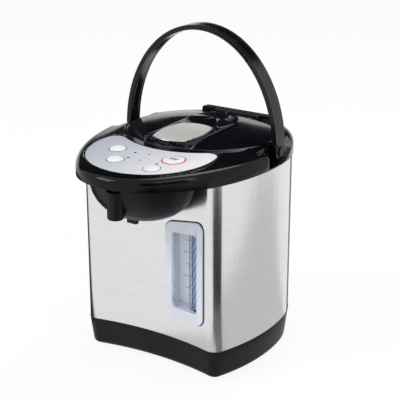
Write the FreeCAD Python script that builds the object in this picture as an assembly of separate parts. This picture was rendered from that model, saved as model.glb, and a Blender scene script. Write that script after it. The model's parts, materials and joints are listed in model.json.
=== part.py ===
import FreeCAD, Part
import math
import os

from FreeCAD import Vector

os.makedirs("parts", exist_ok=True)

# An electric thermo pot. Sizes are in millimetres and angles in degrees.
# It stands on z = 0, its front looks along -y and x = 0 is its plane of symmetry.

# Heights of the stacked shells
foot_drop = 1.5
base_height = 34.5
shell_height = 194.0
collar_height = 18.0
crown_rise = 4.0

# Collar outline, egg shaped, measured at its widest band
collar_length = 291.0
collar_width = 217.0
collar_widest_y = 25.0
rim_nose_radius = 65.0
rim_inset = 6.5
rim_round = 8.0
collar_wall = 3.0
deck_wall = 3.0
nose_lift = 5.0
nose_lift_start = -72.0
skirt_depth = 8.0

# Steel body, with its hollow front
steel_inset = 1.5
steel_wall = 0.8
hollow_y = -57.0
hollow_radius = 334.0
corner_radius = 14.0

# Rear panel
rear_seam_y = 70.0
rear_wall = 2.5
rear_lap = 8.0
seam_gap = 0.3

# Base ring and bottom cover
base_flare = 0.4
base_taper = 3.0
base_round = 6.0
base_wall = 3.0
lip_inset = 2.7
lip_wall = 2.5
lip_height = 5.0
flange_depth = 3.0
flange_thickness = 2.5
flange_height = 3.0
cover_gap = 0.3
cover_thickness = 2.5
vent_count = 7
vent_length = 34.0
vent_width = 3.0
vent_pitch = 8.0
vent_y = 24.0
boss_radius = 7.0
boss_height = 8.0
boss_front = (62.0, -44.0)
boss_back = (62.0, 100.0)
foot_radius = 8.0
foot_front = (44.0, -34.0)
foot_back = (44.0, 104.0)
screw_radius = 1.75
screw_head_radius = 3.5
screw_head = 1.6
screw_length = 9.0
fit = 0.05

# Lid and its opening
lid_width = 177.2
lid_front_y = -36.4
lid_back_y = 118.0
lid_widest_y = 41.0
lid_nose_radius = 100.0
lid_gap = 0.8
lid_skirt = 7.0
lid_edge_round = 2.0
lid_crown = 4.0
lid_crown_reach = 45.0
lid_wall = 2.5
lid_roof = 1.0
well_wall = 2.7
well_depth = 11.0
ledge_thickness = 3.0
lid_floor_thickness = 1.8
lid_cup_radius = 72.0
lid_cup_depth = 11.5
lid_cup_wall = 2.0
gasket_reach = 8.0
gasket_gap = 0.3

# Raised tongue on the lid, with its release plate and steam cap
tongue_half_width = 29.0
tongue_arch_y = 66.0
tongue_back_y = 98.0
tongue_top = 6.0
plate_half_width = 26.5
plate_front_y = -33.6
plate_back_y = 45.0
plate_thickness = 3.0
plate_corner = 11.0
plate_gap = 0.4
plate_swing_room = 1.7
plate_pin_y = 38.0
plate_pin_drop = 5.6
plate_pin_radius = 1.5
plate_pin_half_length = 20.0
plate_lug_x = 14.0
plate_lug_width = 4.0
plate_lug_radius = 3.0
lever_spring_turns = 6
lever_spring_radius = 1.95
lever_spring_wire = 0.5
lever_spring_pitch = 1.1
bolt_half_width = 9.0
bolt_length = 26.0
bolt_thickness = 3.2
bolt_reach = 1.6
bolt_gap = 0.3
steam_y = 84.0
steam_radius = 9.0
steam_height = 2.3
steam_proud = 0.8
steam_slot = 1.6
steam_bore = 4.0

# Lid hinge
hinge_y = 123.0
hinge_drop = 2.0
hinge_pin_radius = 2.0
hinge_pin_half_length = 47.0
hinge_knuckle_radius = 4.8
hinge_knuckle_half_length = 36.0
hinge_lug_width = 11.5
hinge_gap = 0.4
hinge_web_half_width = 30.0
hinge_web_thickness = 5.0
hinge_cover_back_y = 131.0
hinge_cover_height = 4.5

# Carrying bail
bail_width = 204.0
bail_height = 131.5
bail_y = 45.7
bail_drop = 6.5
bail_thickness = 5.5
bail_depth = 19.0
grip_thickness = 5.0
grip_depth = 22.0
grip_cover = 2.5
grip_half_length = 62.0
bail_swing = 65.0
bail_pin_radius = 3.5
bail_pin_head_radius = 5.5
bail_pin_head = 1.4
pocket_wall_x = 94.0
pocket_front_y = 10.0
pocket_gap = 0.5
pocket_wall = 2.5
pocket_back_step = 5.5
pocket_back_start = 14.0
bail_boss_radius = 7.0
bail_boss_gap = 0.3

# Control panel, a crescent between two arcs
panel_radius = 73.0
panel_centre_y = -54.5
panel_inner_radius = 100.0
panel_inner_y = 52.0
panel_corner = 12.0
panel_thickness = 1.6
panel_bezel = 1.5
panel_bezel_proud = 0.3
panel_gap = 0.25
panel_ledge = 4.5
panel_origin_y = -84.0
panel_origin_z = 250.2
panel_tilt = 2.25
button_size = (17.0, 18.5)
button_places = ((-38.0, -67.0), (-20.0, -96.0), (30.0, -100.0))
button_names = ("reboil_button", "unlock_button", "keep_warm_button")
dispense_size = (23.0, 24.0)
dispense_place = (36.0, -68.0)
ring_width = 1.8
button_proud = 0.8
button_flange = 1.2
button_flange_thickness = 1.0
button_depth = 5.2
button_gap = 0.2
button_side_gap = 0.15
light_radius = 1.6
dark_light_places = ((-14.0, -68.0), (-11.0, -85.0), (27.0, -86.0))
red_light_places = ((3.0, -66.0), (5.0, -85.0))
board_depth = 8.0
board_thickness = 1.6
board_radius = 72.0
board_inner_radius = 104.0
board_post_radius = 2.0
board_post_circle = 71.0
board_post_angles = (-35.0, -75.0, -105.0, -145.0)
switch_side = 6.0
switch_height = 1.6

# Spout hood and nozzle
hood_centre_y = -74.0
hood_half_width = 62.0
hood_reach = 54.0
hood_depth = 52.0
hood_top_z = 235.0
hood_power = 2.5
hood_wall = 2.5
hood_steps = 9
hood_last_angle = 86.0
hood_body_gap = 0.2
nozzle_y = -124.0
nozzle_radius = 9.0
nozzle_bore = 5.0
nozzle_bottom_z = 195.0
nozzle_top_z = 226.0
nozzle_edge = 2.0
nozzle_socket_z = 220.0
web_half_width = 3.0
web_back_y = -100.0
web_bottom_z = 199.0
web_top_z = 222.0

# Cup lever behind the nozzle
cup_lever_y = -94.0
cup_lever_z = 191.0
cup_lever_half_width = 6.0
cup_lever_drop = 10.0
cup_lever_thickness = 5.0
cup_lever_radius = 3.0
cup_lever_pin_radius = 1.25
cup_lever_pin_half_length = 10.0
cup_lever_gap = 0.5
cup_lever_swing = 12.0
cup_lever_ear = 3.0

# Water window in the hollow front
window_x = 44.5
window_z = 120.5
window_width = 53.0
window_height = 115.0
window_corner = 10.0
window_flange = 2.5
window_proud = 2.0
opening_width = 36.0
opening_height = 90.0
opening_corner = 5.0
window_depth = 15.0
lens_sink = 0.6
lens_thickness = 2.0
level_plate_thickness = 1.2
sight_x = 56.0
sight_depth = 9.0
sight_radius = 5.0
sight_bore = 3.5
sight_bottom_z = 54.0
sight_top_z = 190.0

# Water vessel and its clamp
vessel_y = 41.0
vessel_radius = 77.0
vessel_wall = 1.0
vessel_bottom_z = 66.0
mouth_gap = 0.5
vessel_gasket_thickness = 1.2
vessel_flange_radius = 84.0
clamp_radius = 90.5
clamp_thickness = 1.5
clamp_screw_count = 6
clamp_screw_circle = 87.5
vessel_outlet = (40.0, -14.0)
spigot_radius = 5.0
spigot_bore = 3.5
vessel_spigot_length = 14.0

# Heater with its thermostat and fuse
heater_radius = 58.0
heater_thickness = 4.0
heater_ring_radius = 42.0
heater_ring_section = 3.5
thermostat_radius = 8.0
thermostat_height = 8.0
thermostat_place = (0.0, 41.0)
fuse_radius = 2.0
fuse_length = 14.0
fuse_place = (-22.0, 41.0)

# Pump under the vessel outlet
pump_pad = 3.5
motor_radius = 15.0
motor_height = 19.5
pump_radius = 18.0
pump_height = 12.0
pump_wall = 2.0
pump_spigot_length = 8.0
hose_start = 2.0
pump_outlet_length = 14.0
impeller_radius = 14.0
impeller_gap = 1.0
impeller_disc = 1.5
impeller_hub_radius = 4.0
impeller_vane_count = 6
impeller_vane_thickness = 1.2
shaft_radius = 1.5
shaft_depth = 5.0

# Hoses
hose_wall = 1.5
hose_bend = 12.0
spout_hose_radius = 3.45
spout_hose_bore = 2.2
spout_hose_bend = 10.0
spout_hose_z = 234.5
spout_hose_insert = 8.0
hose_clear = 0.6

# Power inlet and power board
inlet_z = 58.0
inlet_half_width = 17.0
inlet_half_height = 12.0
inlet_depth = 18.0
inlet_socket_half_width = 13.0
inlet_socket_half_height = 8.0
inlet_socket_depth = 11.0
inlet_pin_x = 7.0
inlet_pin_radius = 1.6
inlet_pin_length = 9.0
inlet_tail = 5.0
power_board_x = 34.0
power_board_y = (52.0, 100.0)
power_board_thickness = 1.6
power_board_lift = 6.5
power_post_radius = 3.0
power_post_inset = 5.0
transformer_size = (28.0, 24.0, 18.0)
capacitor_radius = 5.0
capacitor_height = 14.0

# Levels worked out from the heights
base_bottom_z = foot_drop
base_top_z = base_bottom_z + base_height
shell_top_z = base_top_z + shell_height
rim_z = shell_top_z + collar_height
crown_z = rim_z + crown_rise
well_floor_z = crown_z - well_depth
ledge_bottom_z = well_floor_z - ledge_thickness
cover_top_z = base_bottom_z + flange_height
lid_floor_z = crown_z - lid_skirt
tongue_z = crown_z + tongue_top
hinge_z = crown_z - hinge_drop
bail_z = rim_z - bail_drop


# Outlines and plain shapes

def arc(x, y, radius, start, end, z):
    """Arc about (x, y) at height z, from one angle to another."""
    points = []
    for angle in (start, (start + end) / 2, end):
        turn = math.radians(angle)
        points.append(Vector(x + radius * math.cos(turn), y + radius * math.sin(turn), z))
    return Part.Arc(*points).toShape()


def right_crossing(first, first_radius, second, second_radius):
    """The right-hand point where two circles cross."""
    gap = second - first
    along = (gap.Length ** 2 + first_radius ** 2 - second_radius ** 2) / (2 * gap.Length)
    across = math.sqrt(first_radius ** 2 - along ** 2)
    way = Vector(gap).normalize()
    side = Vector(-way.y, way.x, 0)
    foot = first + way * along
    return max(foot + side * across, foot - side * across, key=lambda point: point.x)


def box(x0, x1, y0, y1, z0, z1):
    """Box between two corners."""
    return Part.makeBox(x1 - x0, y1 - y0, z1 - z0, Vector(x0, y0, z0))


def upright(x, y, radius, z0, z1):
    """Upright cylinder."""
    return Part.makeCylinder(radius, z1 - z0, Vector(x, y, z0))


def crosswise(y, z, radius, x0, x1):
    """Cylinder along x."""
    return Part.makeCylinder(radius, x1 - x0, Vector(x0, y, z), Vector(1, 0, 0))


def prism(wire, height):
    """Solid raised from a flat outline."""
    return Part.Face(wire).extrude(Vector(0, 0, height))


def fuse(shapes):
    """One solid from several that meet."""
    return shapes[0].multiFuse(shapes[1:]).removeSplitter()


def both_sides(shape):
    """A shape and its mirror image in the plane of symmetry."""
    return [shape, shape.mirror(Vector(0, 0, 0), Vector(1, 0, 0))]


class Oval:
    """Outline of four tangent arcs, the same on both sides of x = 0."""

    def __init__(self, half_width, front, back, widest, nose):
        ahead = widest - front - nose
        behind = back - widest
        self.widest = widest
        self.nose = nose
        self.side = (nose ** 2 - half_width ** 2 - ahead ** 2) / (2 * (nose - half_width))
        span = self.side ** 2 - (self.side - half_width) ** 2
        self.tail = (span - behind ** 2) / (2 * (self.side - behind))
        self.nose_y = front + nose
        self.tail_y = back - self.tail
        self.side_x = half_width - self.side
        self.nose_angle = self.joint_angle(self.nose_y, nose)
        self.tail_angle = self.joint_angle(self.tail_y, self.tail)

    def joint_angle(self, centre_y, radius):
        """Angle at which the right side arc meets an arc centred on x = 0."""
        sign = 1 if self.side > radius else -1
        return math.degrees(math.atan2(sign * (centre_y - self.widest), -sign * self.side_x))

    def wire(self, offset, z):
        """The outline moved out by an offset, at height z."""
        nose = self.nose_angle
        tail = self.tail_angle
        side = self.side + offset
        return Part.Wire([
            arc(0, self.nose_y, self.nose + offset, -180 - nose, nose, z),
            arc(self.side_x, self.widest, side, nose, tail, z),
            arc(0, self.tail_y, self.tail + offset, tail, 180 - tail, z),
            arc(-self.side_x, self.widest, side, 180 - tail, 180 - nose, z),
        ])

    def prism(self, offset, z0, z1):
        """Solid of the outline between two heights."""
        return prism(self.wire(offset, z0), z1 - z0)


rim = Oval(collar_width / 2 - rim_inset, rim_inset - collar_length / 2,
           collar_length / 2 - rim_inset, collar_widest_y, rim_nose_radius)
lid = Oval(lid_width / 2, lid_front_y, lid_back_y, lid_widest_y, lid_nose_radius)

steel_offset = rim_inset - steel_inset
hollow_centre = Vector(0, hollow_y - hollow_radius, 0)
flank_centre = Vector(rim.side_x, rim.widest, 0)
corner = right_crossing(hollow_centre, hollow_radius + corner_radius,
                        flank_centre, rim.side + steel_offset - corner_radius)
hollow_angle = math.degrees(math.atan2(corner.y - hollow_centre.y, corner.x))
corner_angle = math.degrees(math.atan2(corner.y - flank_centre.y, corner.x - flank_centre.x))


def body_wire(inset, z):
    """Outline of the steel body moved in by an inset: hollow front, round flanks and back."""
    side = rim.side + steel_offset - inset
    tail = rim.tail + steel_offset - inset
    round_radius = corner_radius - inset
    back = rim.tail_angle
    return Part.Wire([
        arc(0, hollow_centre.y, hollow_radius + inset, 180 - hollow_angle, hollow_angle, z),
        arc(corner.x, corner.y, round_radius, hollow_angle - 180, corner_angle, z),
        arc(rim.side_x, rim.widest, side, corner_angle, back, z),
        arc(0, rim.tail_y, tail, back, 180 - back, z),
        arc(-rim.side_x, rim.widest, side, 180 - back, 180 - corner_angle, z),
        arc(-corner.x, corner.y, round_radius, 180 - corner_angle, 360 - hollow_angle, z),
    ])


def body_prism(inset, z0, z1):
    """Solid of the body outline between two heights."""
    return prism(body_wire(inset, z0), z1 - z0)


def body_band(outer_inset, inner_inset, z0, z1):
    """Wall that follows the body outline."""
    return body_prism(outer_inset, z0, z1).cut(body_prism(inner_inset, z0, z1))


def hollow_band(outside, inside):
    """Curved slab beside the hollow front, from outside its face to inside it."""
    low = Vector(0, hollow_centre.y, 0)
    slab = Part.makeCylinder(hollow_radius + inside, shell_top_z, low)
    return slab.cut(Part.makeCylinder(hollow_radius - outside, shell_top_z, low))


def round_block(x, z, width, height, radius, y0, y1):
    """Rounded rectangle facing the front, carried along y."""
    block = box(x - width / 2, x + width / 2, y0, y1, z - height / 2, z + height / 2)
    edges = [edge for edge in block.Edges if abs(edge.tangentAt(0).y) > 0.9]
    return block.makeFillet(radius, edges)


def pipe(points, bend, radius):
    """Round rod along straight runs joined by tangent bends."""
    edges = []
    start = points[0]
    for before, at, after in zip(points, points[1:], points[2:]):
        way_in = (at - before).normalize()
        way_out = (after - at).normalize()
        turn = way_in.getAngle(way_out)
        trim = bend * math.tan(turn / 2)
        entry = at - way_in * trim
        leave = at + way_out * trim
        inward = (way_out - way_in).normalize()
        middle = at + inward * (bend / math.cos(turn / 2) - bend)
        edges.append(Part.LineSegment(start, entry).toShape())
        edges.append(Part.Arc(entry, middle, leave).toShape())
        start = leave
    edges.append(Part.LineSegment(start, points[-1]).toShape())
    way = points[1] - points[0]
    section = Part.Face(Part.Wire(Part.Circle(points[0], way, radius).toShape()))
    return Part.Wire(edges).makePipe(section)


def hose(points, bend, radius, bore):
    """Hollow hose along a route."""
    return pipe(points, bend, radius).cut(pipe(points, bend, bore))


def screw(x, y, z, length, radius, head_radius, head):
    """Screw driven upwards, its head's lower face at height z."""
    return fuse([upright(x, y, head_radius, z, z + head), upright(x, y, radius, z, z + length)])


# Base

def base_levels():
    """Insets and heights down the outside of the base, ending in its rounded edge."""
    levels = [(-base_flare, base_top_z)]
    steps = 4
    for step in range(steps + 1):
        turn = math.radians(90 * step / steps)
        inset = base_taper + base_round * (1 - math.cos(turn))
        levels.append((inset, base_bottom_z + base_round * (1 - math.sin(turn))))
    return levels


def screw_places():
    """Places of the four bottom screws."""
    return [(sign * x, y) for x, y in (boss_front, boss_back) for sign in (-1, 1)]


def foot_places():
    """Places of the four feet."""
    return [(sign * x, y) for x, y in (foot_front, foot_back) for sign in (-1, 1)]


flange_inset = base_taper + base_round + 1.0


def base_ring():
    """Black base moulding that carries the steel body on an inner lip."""
    shape = Part.makeLoft([body_wire(inset, z) for inset, z in base_levels()], True, True)
    shape = shape.cut(body_prism(base_taper + base_wall, cover_top_z + flange_thickness, base_top_z))
    shape = shape.cut(body_prism(flange_inset + flange_depth, 0, base_top_z))
    shape = shape.cut(body_prism(flange_inset, 0, cover_top_z))
    lip = body_band(lip_inset, lip_inset + lip_wall, base_top_z - 1, base_top_z + lip_height)
    root = body_band(lip_inset, base_taper + base_wall + 1, base_top_z - 1, base_top_z)
    bosses = []
    for x, y in screw_places():
        bosses.append(upright(x, y, boss_radius, cover_top_z, cover_top_z + boss_height))
    shape = fuse([shape, lip, root] + bosses)
    for x, y in screw_places():
        shape = shape.cut(upright(x, y, screw_radius + fit, 0, base_top_z))
    return shape.cut(lower_hose_route(hose_clear))


def bottom_cover():
    """Plate under the base, with vents and posts for the power board."""
    low = cover_top_z - cover_thickness
    shape = body_prism(flange_inset + cover_gap, low, cover_top_z)
    for step in range(vent_count):
        x = (step - (vent_count - 1) / 2) * vent_pitch
        half = vent_width / 2
        shape = shape.cut(box(x - half, x + half, vent_y - vent_length / 2, vent_y + vent_length / 2,
                              low, cover_top_z))
    for x, y in screw_places():
        shape = shape.cut(upright(x, y, screw_radius + fit, low, cover_top_z))
        shape = shape.cut(upright(x, y, screw_head_radius + fit, low, low + screw_head))
    posts = []
    for x in (-power_board_x + power_post_inset, power_board_x - power_post_inset):
        for y in (power_board_y[0] + power_post_inset, power_board_y[1] - power_post_inset):
            posts.append(upright(x, y, power_post_radius, low, cover_top_z + power_board_lift))
    return fuse([shape] + posts)


def bottom_screws():
    """Four screws through the bottom cover into the base."""
    low = cover_top_z - cover_thickness
    return Part.makeCompound([
        screw(x, y, low, screw_length, screw_radius, screw_head_radius, screw_head)
        for x, y in screw_places()
    ])


def rubber_feet():
    """Four rubber feet under the bottom cover."""
    top = cover_top_z - cover_thickness
    return Part.makeCompound([upright(x, y, foot_radius, 0, top) for x, y in foot_places()])


# Body

def window_block(margin, y0, y1):
    """Block of the water window's outline, grown or shrunk by a margin."""
    return round_block(window_x, window_z, window_width + 2 * margin, window_height + 2 * margin,
                       window_corner + margin, y0, y1)


def opening_block(margin, y0, y1):
    """Block of the opening in the window frame, grown by a margin."""
    return round_block(window_x, window_z, opening_width + 2 * margin, opening_height + 2 * margin,
                       opening_corner + margin, y0, y1)


window_front_y = 2 * hollow_y
window_back_y = vessel_y - vessel_radius


def outer_shell():
    """Steel sheet that wraps the front and both flanks."""
    shape = body_band(0, steel_wall, base_top_z, shell_top_z)
    shape = shape.cut(box(-collar_width, collar_width, rear_seam_y, collar_length,
                          base_top_z, shell_top_z))
    return shape.cut(window_block(-window_flange, window_front_y, window_back_y))


def inlet_block(half_width, half_height, y0):
    """Block of the inlet's outline from a depth to beyond the back."""
    return box(-half_width, half_width, y0, collar_length, inlet_z - half_height,
               inlet_z + half_height)


body_back_y = rim.tail_y + rim.tail + steel_offset


def rear_panel():
    """Black back of the body, with tongues behind both edges of the steel."""
    lap_inset = steel_wall + fit
    skin = body_band(0, rear_wall, base_top_z, shell_top_z)
    skin = skin.common(box(-collar_width, collar_width, rear_seam_y + seam_gap, collar_length,
                           base_top_z, shell_top_z))
    lap = body_band(lap_inset, rear_wall, base_top_z, shell_top_z)
    lap = lap.common(box(-collar_width, collar_width, rear_seam_y - rear_lap,
                         rear_seam_y + rear_lap, base_top_z, shell_top_z))
    shape = fuse([skin, lap])
    return shape.cut(inlet_block(inlet_half_width + fit, inlet_half_height + fit,
                                 body_back_y - inlet_depth))


def inlet_housing():
    """Power inlet set in the rear panel, with an open socket."""
    shape = inlet_block(inlet_half_width, inlet_half_height, body_back_y - inlet_depth)
    shape = shape.common(body_prism(0, 0, shell_top_z))
    rim_front = body_back_y - inlet_socket_depth
    shape = shape.cut(inlet_block(inlet_socket_half_width, inlet_socket_half_height, rim_front))
    for pin in inlet_pin_rods(inlet_pin_radius + fit):
        shape = shape.cut(pin)
    flange = inlet_block(inlet_half_width + rear_wall, inlet_half_height + rear_wall, 0)
    flange = flange.common(body_band(rear_wall + fit, 2 * rear_wall, 0, shell_top_z))
    flange = flange.cut(inlet_block(inlet_socket_half_width, inlet_socket_half_height, rim_front))
    return fuse([shape, flange])


def inlet_pin_rods(radius):
    """Two rods along y that stand in the socket and end behind the housing."""
    start = body_back_y - inlet_depth - inlet_tail
    end = body_back_y - inlet_socket_depth + inlet_pin_length
    rods = []
    for x in (-inlet_pin_x, inlet_pin_x):
        rods.append(Part.makeCylinder(radius, end - start, Vector(x, start, inlet_z),
                                      Vector(0, 1, 0)))
    return rods


def inlet_pins():
    """Two contact pins of the inlet."""
    return Part.makeCompound(inlet_pin_rods(inlet_pin_radius))


# Water window

def window_frame():
    """Clear frame: a flange on the steel and a neck that reaches behind it."""
    flange = window_block(0, window_front_y, window_back_y).common(hollow_band(window_proud, 0))
    neck = window_block(-window_flange - fit, window_front_y, window_back_y)
    neck = neck.common(hollow_band(window_proud, window_depth))
    shape = fuse([flange, neck])
    shape = shape.cut(opening_block(0, window_front_y, window_back_y))
    return shape.cut(upright(sight_x, sight_y, sight_radius + fit, sight_bottom_z, sight_top_z))


def window_lens():
    """Clear pane in the window's opening."""
    pane = opening_block(-fit, window_front_y, window_back_y)
    return pane.common(hollow_band(-lens_sink, lens_sink + lens_thickness))


def level_plate():
    """Pale plate behind the sight tube."""
    plate = window_block(-window_flange - fit, window_front_y, window_back_y)
    plate = plate.common(hollow_band(-window_depth, window_depth + level_plate_thickness))
    return plate


sight_y = hollow_centre.y + math.sqrt((hollow_radius + sight_depth) ** 2 - sight_x ** 2)


def sight_tube():
    """Glass tube that shows the water level."""
    shape = upright(sight_x, sight_y, sight_radius, sight_bottom_z, sight_top_z)
    return shape.cut(upright(sight_x, sight_y, sight_bore, sight_bottom_z, sight_top_z))


# Vessel, heater and pump

mouth_radius = vessel_radius + mouth_gap
flange_top_z = ledge_bottom_z - vessel_gasket_thickness
outlet_x, outlet_y = vessel_outlet
spigot_end_z = vessel_bottom_z - vessel_spigot_length


def vessel_gasket():
    """Seal between the vessel's flange and the collar."""
    shape = upright(0, vessel_y, vessel_flange_radius, flange_top_z, ledge_bottom_z)
    return shape.cut(upright(0, vessel_y, mouth_radius, flange_top_z, ledge_bottom_z))


def inner_vessel():
    """Steel water vessel with a flange at its mouth and an outlet below."""
    outside = upright(0, vessel_y, vessel_radius, vessel_bottom_z, flange_top_z)
    flange = upright(0, vessel_y, vessel_flange_radius, flange_top_z - vessel_wall, flange_top_z)
    spigot = upright(outlet_x, outlet_y, spigot_radius, spigot_end_z, vessel_bottom_z + vessel_wall)
    shape = fuse([outside, flange, spigot])
    shape = shape.cut(upright(0, vessel_y, vessel_radius - vessel_wall,
                              vessel_bottom_z + vessel_wall, flange_top_z))
    return shape.cut(upright(outlet_x, outlet_y, spigot_bore, spigot_end_z,
                             vessel_bottom_z + vessel_wall))


def clamp_screw_places():
    """Places of the screws round the vessel's mouth."""
    places = []
    for step in range(clamp_screw_count):
        turn = math.radians(360 * (step + 0.5) / clamp_screw_count)
        places.append((clamp_screw_circle * math.cos(turn),
                       vessel_y + clamp_screw_circle * math.sin(turn)))
    return places


def clamp_ring():
    """Ring that presses the vessel's flange up against the collar."""
    top = flange_top_z - vessel_wall
    shape = upright(0, vessel_y, clamp_radius, top - clamp_thickness, top)
    collar_rest = upright(0, vessel_y, clamp_radius, top, ledge_bottom_z)
    collar_rest = collar_rest.cut(upright(0, vessel_y, vessel_flange_radius + fit,
                                          top, ledge_bottom_z))
    shape = fuse([shape, collar_rest])
    shape = shape.cut(upright(0, vessel_y, vessel_radius + mouth_gap, 0, shell_top_z + collar_height))
    for x, y in clamp_screw_places():
        shape = shape.cut(upright(x, y, screw_radius + fit, 0, shell_top_z + collar_height))
    return shape


clamp_screw_z = flange_top_z - vessel_wall - clamp_thickness - screw_head


def clamp_screws():
    """Screws that hold the clamp ring to the collar."""
    length = ledge_bottom_z + clamp_thickness - clamp_screw_z
    return Part.makeCompound([
        screw(x, y, clamp_screw_z, length, screw_radius, screw_head_radius, screw_head)
        for x, y in clamp_screw_places()
    ])


heater_z = vessel_bottom_z - heater_thickness


def heater():
    """Heater plate under the vessel, with its ring element."""
    plate = upright(0, vessel_y, heater_radius, heater_z, vessel_bottom_z)
    ring = upright(0, vessel_y, heater_ring_radius + heater_ring_section,
                   heater_z - heater_ring_section, heater_z)
    ring = ring.cut(upright(0, vessel_y, heater_ring_radius - heater_ring_section,
                            heater_z - heater_ring_section, heater_z))
    return fuse([plate, ring])


def thermostat():
    """Round thermostat against the heater plate."""
    x, y = thermostat_place
    return upright(x, y, thermostat_radius, heater_z - thermostat_height, heater_z)


def thermal_fuse():
    """Fuse that lies against the heater plate."""
    x, y = fuse_place
    start = Vector(x, y - fuse_length / 2, heater_z - fuse_radius)
    return Part.makeCylinder(fuse_radius, fuse_length, start, Vector(0, 1, 0))


motor_z = cover_top_z + pump_pad
pump_z = motor_z + motor_height
pump_top_z = pump_z + pump_height
pump_outlet_z = pump_z + pump_height / 2
pump_way = Vector(sight_x - outlet_x, sight_y - outlet_y, 0).normalize()
lower_hose_points = [
    Vector(outlet_x, outlet_y, pump_outlet_z) + pump_way * (pump_radius + hose_start),
    Vector(sight_x, sight_y, pump_outlet_z),
    Vector(sight_x, sight_y, sight_bottom_z + spout_hose_insert),
]


def lower_hose_route(clearance):
    """Space taken by the hose from the pump to the sight tube."""
    return pipe(lower_hose_points, hose_bend, spigot_radius + hose_wall + clearance)


def pump_mount():
    """Rubber pad under the pump motor."""
    return upright(outlet_x, outlet_y, motor_radius, cover_top_z, motor_z)


def pump_motor():
    """Motor that turns the impeller."""
    shape = upright(outlet_x, outlet_y, motor_radius, motor_z, pump_z)
    return shape.cut(upright(outlet_x, outlet_y, shaft_radius + fit, pump_z - shaft_depth, pump_z))


def pump_housing():
    """Round pump housing with an inlet above and an outlet at its side."""
    shape = upright(outlet_x, outlet_y, pump_radius, pump_z, pump_top_z)
    inlet = upright(outlet_x, outlet_y, spigot_radius, pump_top_z - pump_wall,
                    pump_top_z + pump_spigot_length)
    middle = Vector(outlet_x, outlet_y, pump_outlet_z)
    outlet = Part.makeCylinder(spigot_radius, pump_radius + pump_outlet_length / 2, middle, pump_way)
    shape = fuse([shape, inlet, outlet])
    shape = shape.cut(upright(outlet_x, outlet_y, pump_radius - pump_wall, pump_z + pump_wall,
                              pump_top_z - pump_wall))
    shape = shape.cut(upright(outlet_x, outlet_y, spigot_bore, pump_z + pump_wall,
                              pump_top_z + pump_spigot_length))
    shape = shape.cut(upright(outlet_x, outlet_y, shaft_radius + fit, pump_z, pump_top_z))
    return shape.cut(Part.makeCylinder(spigot_bore, pump_radius + pump_outlet_length, middle,
                                       pump_way))


def impeller():
    """Impeller with its shaft."""
    low = pump_z + pump_wall + impeller_gap
    high = pump_top_z - pump_wall - impeller_gap
    parts = [
        upright(outlet_x, outlet_y, impeller_radius, low, low + impeller_disc),
        upright(outlet_x, outlet_y, impeller_hub_radius, low, high),
        upright(outlet_x, outlet_y, shaft_radius, pump_z - shaft_depth + fit, low + impeller_disc),
    ]
    half = impeller_vane_thickness / 2
    for step in range(impeller_vane_count):
        vane = box(outlet_x, outlet_x + impeller_radius - half, outlet_y - half, outlet_y + half,
                   low, high)
        vane.rotate(Vector(outlet_x, outlet_y, 0), Vector(0, 0, 1), 360 * step / impeller_vane_count)
        parts.append(vane)
    return fuse(parts)


def inlet_hose():
    """Short hose from the vessel's outlet to the pump's inlet."""
    low = pump_top_z + 1
    high = vessel_bottom_z - heater_thickness - 1
    shape = upright(outlet_x, outlet_y, spigot_radius + hose_wall, low, high)
    return shape.cut(upright(outlet_x, outlet_y, spigot_radius + fit, low, high))


def outlet_hose():
    """Hose from the pump to the foot of the sight tube."""
    return hose(lower_hose_points, hose_bend, spigot_radius + hose_wall, spigot_radius + fit)


spout_hose_points = [
    Vector(sight_x, sight_y, sight_top_z - spout_hose_insert),
    Vector(sight_x, sight_y, spout_hose_z),
    Vector(0, nozzle_y, spout_hose_z),
    Vector(0, nozzle_y, nozzle_socket_z),
]


def spout_hose():
    """Hose from the head of the sight tube to the nozzle."""
    return hose(spout_hose_points, spout_hose_bend, spout_hose_radius, spout_hose_bore)


def spout_hose_route(clearance):
    """Space taken by the spout hose."""
    return pipe(spout_hose_points, spout_hose_bend, spout_hose_radius + clearance)


def power_board():
    """Circuit board in the base with its transformer and capacitors."""
    low = cover_top_z + power_board_lift
    high = low + power_board_thickness
    y0, y1 = power_board_y
    board = box(-power_board_x, power_board_x, y0, y1, low, high)
    width, depth, height = transformer_size
    middle = (y0 + y1) / 2
    transformer = box(-width, 0, middle - depth / 2, middle + depth / 2, high, high + height)
    parts = [board, transformer]
    for y in (middle - depth / 2, middle + depth / 2):
        parts.append(upright(width / 2, y, capacitor_radius, high, high + capacitor_height))
    return Part.makeCompound(parts)


# Collar

def nose_side(z, below):
    """All space below or above the sloped underside of the nose, which starts at height z."""
    reach = 2 * collar_length
    rise = nose_lift * (reach + nose_lift_start) / (nose_lift_start + collar_length / 2)
    far = -reach if below else reach
    corners = [Vector(-collar_width, nose_lift_start, z), Vector(-collar_width, -reach, z + rise),
               Vector(-collar_width, -reach, z + far + rise), Vector(-collar_width, nose_lift_start, z + far)]
    face = Part.Face(Part.makePolygon(corners + corners[:1]))
    return face.extrude(Vector(2 * collar_width, 0, 0))


def collar_levels():
    """Offsets and heights up the outside of the collar, ending in its rounded rim."""
    levels = [(rim_inset, shell_top_z)]
    steps = 5
    for step in range(steps + 1):
        turn = math.radians(90 * step / steps)
        levels.append((rim_inset * math.cos(turn), rim_z - rim_round * (1 - math.sin(turn))))
    return levels


def collar_block():
    """Collar without its hollows."""
    wires = [rim.wire(offset, z) for offset, z in collar_levels()]
    wires.append(lid.wire(lid_gap, crown_z))
    return Part.makeLoft(wires, True, True).cut(nose_side(shell_top_z, True))


def place_on_panel(shape):
    """Carry a shape from the panel's own level frame to its place on the sloped deck."""
    moved = shape.copy()
    moved.translate(Vector(0, 0, panel_origin_z))
    moved.rotate(Vector(0, panel_origin_y, panel_origin_z), Vector(1, 0, 0), panel_tilt)
    return moved


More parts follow.
